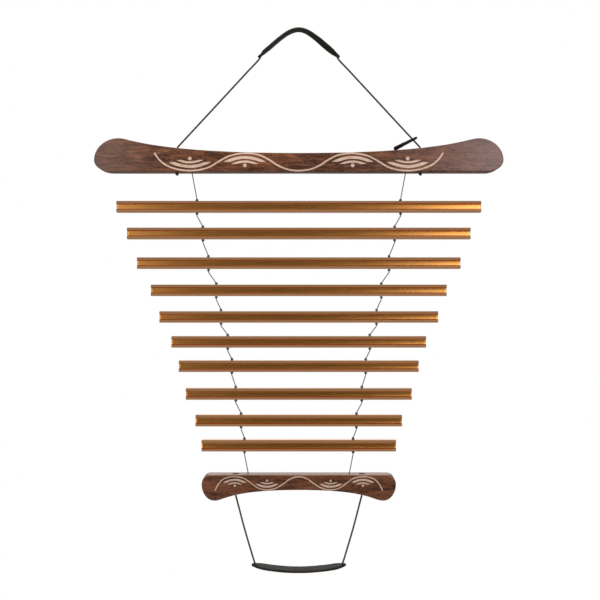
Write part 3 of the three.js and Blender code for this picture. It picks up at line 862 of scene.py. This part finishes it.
def makeKnotTree(form):
    sizes = dict.fromkeys(("Width", "Height", "Tip over"), "Float")
    inputs = {"Knot": "Object", **sizes, "Seed": "Int", "Finish": "Material"}
    tree, given, out = geometryTree("knotsOnPoints", inputs)
    knot = addNode("GeometryNodeObjectInfo", {"Object": given["Knot"]})["Geometry"]
    most = {3: 2 * math.pi}  # the greatest random turn
    random = addNode("FunctionNodeRandomValue", {"Seed": given["Seed"], **most}, data_type="FLOAT")[1]
    turned = addNode("FunctionNodeEulerToRotation", {0: vectorNode(given["Tip over"], z=random)})[0]
    wide = times(given["Width"], 0.5)
    high = times(given["Height"], 0.5 / (form["rise"] + form["strand"]))
    size = vectorNode(wide, wide, high)
    sockets = {"Points": given["Geometry"], "Instance": knot, "Rotation": turned, "Scale": size}
    closeTree(shapeNode("InstanceOnPoints", sockets), given["Finish"], out)
    return tree


knotTree = makeKnotTree(knotForm)
overhand = addPiece("overhandKnot", overhandMesh(knotForm))
overhand.data.shade_smooth()


def knotMesh(name, places, form, finish, seed, bearsUp):
    return runTree(knotTree, name, meshOf(name, places), {
        "Knot": overhand,
        "Width": form["width"] * mm,
        "Height": form["height"] * mm,
        "Tip over": 0.0 if bearsUp else math.pi,
        "Seed": seed,
        "Finish": finish,
    })


# bar strings: three strands twisted together

twineForm = {
    "diameter": 1.4, "strands": 3, "lay": 3.4, "step": 0.36, "sides": 18, "relief": 0.26, "ballRings": 8,
    "anchorGap": 0.3, "endGap": 0.75,  # from a pivot to the string in the beam: clear at 15 and at 60 degrees
}


def makeTwineTree():
    sizes = dict.fromkeys(("Radius", "Lay", "Relief", "Step"), "Float")
    inputs = {**sizes, "Strands": "Int", "Sides": "Int", "Finish": "Material"}
    tree, given, out = geometryTree("twistedString", inputs)
    line = shapeNode("MeshToCurve", {0: given["Geometry"]})
    spaced = shapeNode("ResampleCurve", {"Curve": line, "Length": given["Step"]}, mode="LENGTH")
    along = tree.nodes.new("GeometryNodeSplineParameter").outputs["Length"]
    tilt = times(mathNode("DIVIDE", along, given["Lay"]), 2 * math.pi)
    tilted = shapeNode("SetCurveTilt", {"Curve": spaced, "Tilt": tilt})
    circle = shapeNode("CurvePrimitiveCircle", {"Resolution": given["Sides"], "Radius": given["Radius"]})
    position = tree.nodes.new("GeometryNodeInputPosition").outputs[0]
    places = axesOf(position)
    angle = mathNode("ARCTAN2", places["Y"], places["X"])
    lobe = times(times(angle, given["Strands"]), 0.5)
    crest = mathNode("ABSOLUTE", mathNode("COSINE", lobe))
    scale = minus(1.0, times(minus(1.0, crest), given["Relief"]))
    lobed = addNode("ShaderNodeVectorMath", {0: position, "Scale": scale}, operation="SCALE")[0]
    stored = shapeNode("StoreNamedAttribute", {"Geometry": circle, "Name": "lay", "Value": crest})
    profile = shapeNode("SetPosition", {"Geometry": stored, "Position": lobed})
    sockets = {"Curve": tilted, "Profile Curve": profile, "Fill Caps": True}
    closeTree(shapeNode("CurveToMesh", sockets), given["Finish"], out)
    return tree


twineTree = makeTwineTree()


def stringMesh(name, lines, form, finish):
    points = [point for line in lines for point in line]
    edges, start = [], 0
    for line in lines:
        edges += [(start + i, start + i + 1) for i in range(len(line) - 1)]
        start += len(line)
    return runTree(twineTree, name, meshOf(name, points, edges=edges), {
        "Radius": form["diameter"] / 2 * mm,
        "Strands": form["strands"],
        "Lay": form["lay"] * mm,
        "Relief": form["relief"],
        "Step": form["step"] * mm,
        "Sides": form["sides"],
        "Finish": finish,
    })


def ballMesh(name, middle, form, finish):
    polar = np.linspace(math.pi, 0, form["ballRings"] + 2)[1:-1, None]
    angle = roundTurn(form["sides"])[None, :]
    level = np.cos(polar) + 0 * angle
    rings = np.stack([np.sin(polar) * np.cos(angle), np.sin(polar) * np.sin(angle), level], axis=-1)
    mesh = loftMesh(name, np.array(middle) + form["diameter"] / 2 * rings, finish)
    keepValues(mesh, "lay", np.ones(len(mesh.vertices)))
    return mesh


ladderForm = {"upperHole": 139.3, "lowerHole": 66.2}


def knotMiddles(x, barMiddle):
    away = barForm["height"] / 2 + stringKnotForm["gap"] + stringKnotForm["height"] / 2
    return [(x, 0, barMiddle + away), (x, 0, barMiddle - away)]


stillPoints = [stillPoint(semitone) for semitone in barForm["semitones"]]
holes = [ladderForm["upperHole"], *stillPoints, ladderForm["lowerHole"]]
for number in range(1, len(holes)):
    top = pivots[f"string_swing_{number}"][2]
    lines, above, below, feet = [], [], [], []
    for sign in sideSigns.values():
        start, end = sign * holes[number - 1], sign * holes[number]
        if number <= len(barMiddles):
            over, under = knotMiddles(end, barMiddles[number - 1])
            foot = (end, 0, pivots[f"string_swing_{number + 1}"][2])  # where the next stretch hangs
            lines.append([(start, 0, top), over, under, foot])
            above.append(over)
            below.append(under)
        else:
            foot = (end, 0, pivots["lower_beam_tilt"][2])
            lines.append([(start, 0, top), foot])
            feet.append(foot)
    name = f"barString{number}"
    parts = [stringMesh(name, lines, twineForm, barTwine)]
    parts += [ballMesh(name, foot, twineForm, barTwine) for foot in feet]  # the lower beam turns on these
    if above:
        parts.append(knotMesh(name, above, stringKnotForm, barTwine, number, False))
        parts.append(knotMesh(name, below, stringKnotForm, barTwine, number + knotSeeds["under"], True))
    stretch = [f"{side}_string_{number}" for side in sideSigns]
    finishPiece(joinMeshes(name, parts), "fibre", f"strings_{number}", "bar_string", *stretch)
print("strings made:", len(holes) - 1)


# beams: outline with a flat edge, a waist and a swelling near each tip

upperForm = {
    "length": 531, "waist": 24.4, "crown": 43.6, "crownInset": 32, "nose": 15.2, "corner": 22, "flare": 75.5,
    "cordHole": hangerCordForm["bore"], "stringHole": ladderForm["upperHole"],
}
lowerForm = {
    "length": 252, "waist": 19.5, "crown": 33.3, "crownInset": 16.5, "nose": 12.3, "corner": 10.4,
    "flare": 35.3, "cordHole": handleCordForm["bore"], "stringHole": ladderForm["lowerHole"],
}
beamForm = {
    "depth": 22, "edge": 1.2, "edgeSteps": 6, "faceInset": 0.5, "crownEase": 14, "flatSteps": 20,
    "cornerSteps": 22, "crownSteps": 60, "heightSteps": 400, "cordBore": 3.0, "stringBore": 2.4, "sink": 5.8,
    "sinkDepth": 3.7, "knotSink": 8.8, "knotSinkDepth": 3.5, "drillReach": 60, "drillSides": 32,
    "engraving": 0.35, "engravingOver": 1,
}


def crownCurve(form, steps):
    tip = form["length"] / 2
    crown = tip - form["crownInset"]
    eased = (crown - beamForm["crownEase"], form["crown"])
    flared = (tip - form["flare"], form["waist"])
    return cubic([(crown, form["crown"]), eased, flared, (0, form["waist"])], steps)


def quarter(x, z, wide, high, start):
    angle = np.radians(np.linspace(start, start + 90, beamForm["cornerSteps"], endpoint=False))
    return oval(angle, x, z, wide, high)


def beamOutline(form):
    tip, corner, nose, inset = form["length"] / 2, form["corner"], form["nose"], form["crownInset"]
    flat = np.linspace(0, tip - corner, beamForm["flatSteps"], endpoint=False)
    right = np.vstack([
        np.stack([flat, 0 * flat], axis=1),
        quarter(tip - corner, nose, corner, nose, -90),
        quarter(tip - inset, nose, inset, form["crown"] - nose, 0),
        crownCurve(form, beamForm["crownSteps"]),
    ])
    left = right[-2:0:-1] * (-1, 1)
    return np.vstack([right, left])


def beamHeight(form, x):
    curve = crownCurve(form, beamForm["heightSteps"])
    return float(np.interp(x, curve[::-1, 0], curve[::-1, 1]))


def standingRing(outline, y):
    return np.stack([outline[:, 0], np.full(len(outline), y), outline[:, 1]], axis=1)


def slabMesh(name, outline, form, material):
    along = np.roll(outline, -1, axis=0) - np.roll(outline, 1, axis=0)
    inward = unit(np.stack([-along[:, 1], along[:, 0]], axis=1))
    angle = np.linspace(0, math.pi / 2, form["edgeSteps"])
    insets = [form["edge"] + form["faceInset"], *(form["edge"] * (1 - np.sin(angle)))]
    fronts = [y - form["depth"] / 2 for y in (0, *(form["edge"] * (1 - np.cos(angle))))]
    levels = list(zip(insets, fronts))
    levels += [(inset, -y) for inset, y in reversed(levels)]
    return loftMesh(name, [standingRing(outline + inset * inward, y) for inset, y in levels], material)


def drillMesh(x, width, bottom, top):
    circle = oval(roundTurn(beamForm["drillSides"]), x, 0, width / 2, width / 2)
    rings = [np.column_stack([circle, np.full(len(circle), z)]) for z in (bottom, top)]
    return loftMesh("drill", rings, darkWood)


# engraved ornament: a wave along the beam, with a dot and two arcs in its bends

upperOrnament = {
    "wave": [
        (0, 1.45), (13, 2.75), (25.9, 7.5), (38.9, 15.8), (51.9, 21.8), (69.9, 23.95), (88.8, 20.8),
        (104.4, 12.9), (114.7, 6.6), (127, 2.8), (141.2, 1.45), (157, 3.2), (171.8, 8.5), (181.5, 16.4),
        (187.2, 24.6),
    ],
    "width": 2.2,
    "fans": [(-141.2, 1.45, 1), (-69.9, 23.95, -1), (69.9, 23.95, -1), (141.2, 1.45, 1)],
    "bigArc": {"away": 5.4, "thick": 4.0, "reach": 27.6, "clip": 11.2},
    "smallArc": {"away": 10.8, "thick": 2.9, "reach": 17.9, "clip": 13.9},
    "dot": {"away": 15.7, "size": 5.0},
}
lowerOrnament = {
    "wave": [
        (0, -2.0), (10.8, -4.7), (20, -11.2), (30, -16.9), (41.3, -19.0), (52.4, -16.8), (62.4, -9.9),
        (71.6, -4.0), (82.8, -2.0), (90.5, -2.6), (97.6, -5.1), (104.3, -11.6), (108.6, -20.2),
    ],
    "width": 1.55,
    "fans": [(-83, -2.0, -1), (-41.3, -19.0, 1), (41.3, -19.0, 1), (83, -2.0, -1)],
    "bigArc": {"away": 4.0, "thick": 2.7, "reach": 15.4, "clip": 7.9},
    "smallArc": {"away": 8.0, "thick": 1.9, "reach": 9.6, "clip": 10.1},
    "dot": {"away": 11.6, "size": 3.2},
}
ornamentForm = {"waveStep": 1.2, "arcSteps": 40, "dotSteps": 32}


def ribbonOutline(points, width):
    mirrored = [(-x, z) for x, z in reversed(points[1:])]
    curve = throughPoints([(x, 0, z) for x, z in mirrored + points])
    line, _ = evenPath(curve, ornamentForm["waveStep"])
    _, _, up = pathFrames(line)
    sides = [(line + way * up * width / 2)[:, [0, 2]] for way in (1, -1)]
    return np.vstack([sides[0], sides[1][::-1]])


def arcOutline(x, z, way, form):
    outer = form["away"] - form["thick"] / 2
    sag = form["clip"] - outer
    radius = (form["reach"] ** 2 + sag**2) / (2 * sag)
    edge = []
    for size, order in ((radius, 1), (radius - form["thick"], -1)):
        most = math.acos((outer + radius - form["clip"]) / size)
        angle = np.linspace(-most, most, ornamentForm["arcSteps"])[::order]
        edge.append(np.stack([size * np.sin(angle), outer + radius - size * np.cos(angle)], axis=1))
    return np.array([x, z]) + np.vstack(edge)[::-1] * way


def dotOutline(x, z, way, form):
    angle = np.linspace(2 * math.pi, 0, ornamentForm["dotSteps"], endpoint=False)
    return oval(angle, x, z + way * form["away"], form["size"] / 2, form["size"] / 2)


def ornamentMeshes(ornament, base):
    outlines = [ribbonOutline(ornament["wave"], ornament["width"])]
    for fan in ornament["fans"]:
        outlines.append(arcOutline(*fan, ornament["bigArc"]))
        outlines.append(arcOutline(*fan, ornament["smallArc"]))
        outlines.append(dotOutline(*fan, ornament["dot"]))
    front = -beamForm["depth"] / 2
    levels = (front - beamForm["engravingOver"], front + beamForm["engraving"])
    meshes = []
    for outline in outlines:
        rings = [standingRing(outline + (0, base), y) for y in levels]
        meshes.append(loftMesh("engraving", rings, engravedWood))
    return meshes


def makeBeam(name, node, body, form, ornament, base, way):
    outline = beamOutline(form)
    if way < 0:
        outline = (outline * (1, -1))[::-1]
    beam = addPiece(name, slabMesh(name, outline + (0, base), beamForm, darkWood))
    sinkFloor = beamHeight(form, form["stringHole"]) - beamForm["sinkDepth"]
    low, high = base - beamForm["drillReach"], base + beamForm["drillReach"]
    bores, sinks = [], []
    for sign in sideSigns.values():
        cordX, stringX = sign * form["cordHole"], sign * form["stringHole"]
        bores.append(drillMesh(cordX, beamForm["cordBore"], low, high))
        bores.append(drillMesh(stringX, beamForm["stringBore"], low, high))
        sinkEnds = sorted((base + way * sinkFloor, base + way * beamForm["drillReach"]))
        sinks.append(drillMesh(stringX, beamForm["sink"], *sinkEnds))
        if way < 0:
            sinks.append(drillMesh(cordX, beamForm["knotSink"], base - beamForm["knotSinkDepth"], high))
    cutAway(beam, joinMeshes("bores", bores))
    cutAway(beam, joinMeshes("sinks", sinks))
    cutAway(beam, joinMeshes("engraving", ornamentMeshes(ornament, base)))
    finishPiece(beam, "beam", body, "dark_wood", node)
    print(name, "faces", len(beam.data.polygons))


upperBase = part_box("upper_beam")[0].z * 1000
makeBeam("upperBeam", "upper_beam", "upper_beam", upperForm, upperOrnament, upperBase, 1)
makeBeam("lowerBeam", "lower_beam", "lower_beam", lowerForm, lowerOrnament, lowerTop, -1)
print("beams made")


# cord and string ends in the beams

def makeCordEnds(kind, body, form, knot, base, way, pivot):
    middle = base - way * (knot["gap"] + knot["height"] / 2 - knot["sink"])
    for side, sign in sideSigns.items():
        name = f"{kind}Knot{side.capitalize()}"
        x, seed = sign * form["cordHole"], knotSeeds["cordEnd"] + sign
        through = np.array([(x, 0, middle), (x, 0, pivot)])
        parts = [braidMesh(name, through, cordForm, blackCord)[0]]
        parts.append(knotMesh(name, [(x, 0, middle)], knot, blackCord, seed, way > 0))
        finishPiece(joinMeshes(name, parts), "fibre", body, "black_cord", f"{kind}_knot_{side}")


def makeStringEnds(kind, label, body, form, base, way, pivot, gap):
    sinkFloor = beamHeight(form, form["stringHole"]) - beamForm["sinkDepth"]
    middle = base + way * (sinkFloor + stringKnotForm["gap"] + stringKnotForm["height"] / 2)
    for side, sign in sideSigns.items():
        name = f"{label}{side.capitalize()}"
        x, seed = sign * form["stringHole"], knotSeeds["stringEnd"] + sign
        line = [(x, 0, pivot + way * gap), (x, 0, middle)]
        parts = [stringMesh(name, [line], twineForm, barTwine)]
        parts.append(knotMesh(name, [(x, 0, middle)], stringKnotForm, barTwine, seed, way < 0))
        finishPiece(joinMeshes(name, parts), "fibre", body, "bar_string", f"{kind}_{side}")


makeCordEnds("hanger", "upper_beam", upperForm, cordKnotForm, upperBase, 1, hangerTop)
makeCordEnds("handle", "lower_beam", lowerForm, flatKnotForm, lowerTop, -1, handleTop)
makeStringEnds("string_anchor", "stringAnchor", "upper_beam", upperForm, upperBase, 1,
               pivots["string_swing_1"][2], twineForm["anchorGap"])
makeStringEnds("string_end", "stringEnd", "lower_beam", lowerForm, lowerTop, -1,
               pivots["lower_beam_tilt"][2], twineForm["endGap"])
bpy.data.objects.remove(overhand)
print("ends made")


# studio: white world, dim in front of the bars, a soft lamp above and a pale floor

studioForm = {
    "softLevels": (0.35, 1.5),  # from below and from above
    "softHeights": (-0.8, 0.9),
    "frontLevel": 0.085,
    "right": {"start": 5.6, "full": 14.6, "level": 4.0},  # degrees aside of the camera, then brightness
    "rightFoot": (-0.1, 0.07, 0.1, 1.0),  # the right strip is dim below the eye line
    "left": {"start": 8.67, "full": 14.78, "level": 1.78},
    "stripEnd": (18, 26),
    "stripTop": (0.35, 0.6),
    "stripTint": (0.94, 1.0, 1.18, 1),
    "roofLevel": 0.34,
    "groundLevel": 0.4,
    "backStart": (0.55, 0.85),
    "backHeights": (-0.12, 0.1),
    "backLevels": (0.35, 1.1),  # behind, below the eye line and above it
}
lampForm = {"place": (-0.5, -1.6, 1.1), "aim": (0, 0, -0.35), "size": 1.6, "power": 16}
floorForm = {
    "height": -900, "radius": 450, "sides": 96, "color": (0.86, 0.86, 0.85, 1), "roughness": 0.9,
    "fade": (0.55, 0.98),  # shares of the radius
}
white = (1, 1, 1, 1)


def stripLevel(turn, form, end):
    rise = rangeNode(turn, math.radians(form["start"]), math.radians(form["full"]))
    fall = rangeNode(turn, math.radians(end[0]), math.radians(end[1]), 1, 0)
    return times(times(rise, fall), form["level"])


def skyNode(color, strength):
    return addNode("ShaderNodeBackground", {"Color": color, "Strength": strength})[0]


def mixShaders(share, first, second):
    return addNode("ShaderNodeMixShader", {0: share, 1: first, 2: second})[0]


def makeWorld(form):
    world = bpy.data.worlds.new("whiteStudio")
    scene.world = world
    world.use_nodes = True
    nodes = world.node_tree.nodes
    nodes.clear()
    rays = nodes.new("ShaderNodeLightPath").outputs
    places = axesOf(nodes.new("ShaderNodeTexCoord").outputs["Generated"])
    turn = mathNode("ARCTAN2", places["X"], times(places["Y"], -1.0))  # 0 at the camera, right is positive
    right = stripLevel(turn, form["right"], form["stripEnd"])
    left = stripLevel(times(turn, -1.0), form["left"], form["stripEnd"])
    sides = plus(times(right, rangeNode(places["Z"], *form["rightFoot"])), left)
    above = rangeNode(places["Z"], *form["stripTop"])
    below = rangeNode(times(places["Z"], -1.0), *form["stripTop"])
    roofed = mixValues(above, plus(sides, form["frontLevel"]), form["roofLevel"])
    floored = mixValues(below, roofed, form["groundLevel"])
    inFront = minus(minus(1.0, above), below)
    tint = mixColors(times(rangeNode(sides, 0.0, 1.0), inFront), white, form["stripTint"])
    behind = rangeNode(places["Y"], *form["backStart"])
    back = rangeNode(places["Z"], *form["backHeights"], *form["backLevels"])
    shine = skyNode(tint, mixValues(behind, floored, back))
    soft = skyNode(white, rangeNode(places["Z"], *form["softHeights"], *form["softLevels"]))
    lit = mixShaders(rays["Is Glossy Ray"], soft, shine)
    plain = nodes.new("ShaderNodeBackground")
    fillSockets(plain, {"Color": white, "Strength": 1.0})
    seen = mathNode("MAXIMUM", rays["Is Camera Ray"], rays["Is Transmission Ray"])
    addNode("ShaderNodeOutputWorld", {"Surface": mixShaders(seen, lit, plain.outputs[0])})


def makeLamp(form):
    data = bpy.data.lights.new("softLamp", "AREA")
    data.size = form["size"]
    data.energy = form["power"]
    lamp = bpy.data.objects.new("softLamp", data)
    lamp.location = form["place"]
    lamp.visible_glossy = False
    aim = Vector(form["aim"]) - Vector(form["place"])
    lamp.rotation_euler = aim.to_track_quat("-Z", "Y").to_euler()
    scene.collection.objects.link(lamp)


def makeFloor(form):
    sides, radius = form["sides"], form["radius"]
    rim = np.column_stack([oval(roundTurn(sides), 0, 0, radius, radius), np.full(sides, form["height"])])
    material, shader, position = newMaterial("paleFloor")
    flat = addNode("ShaderNodeVectorMath", {0: position, 1: (1, 1, 0)}, operation="MULTIPLY")[0]
    out = addNode("ShaderNodeVectorMath", {0: flat}, operation="LENGTH")["Value"]
    fillSockets(shader, {
        "Base Color": form["color"],
        "Roughness": form["roughness"],
        "Alpha": rangeNode(out, *(share * radius * mm for share in form["fade"]), 1, 0),
    })
    floor = addPiece("paleFloor", meshOf("paleFloor", rim, [tuple(range(sides))], material=material))
    floor.visible_glossy = False


makeWorld(studioForm)
makeLamp(lampForm)
makeFloor(floorForm)
print("studio made")
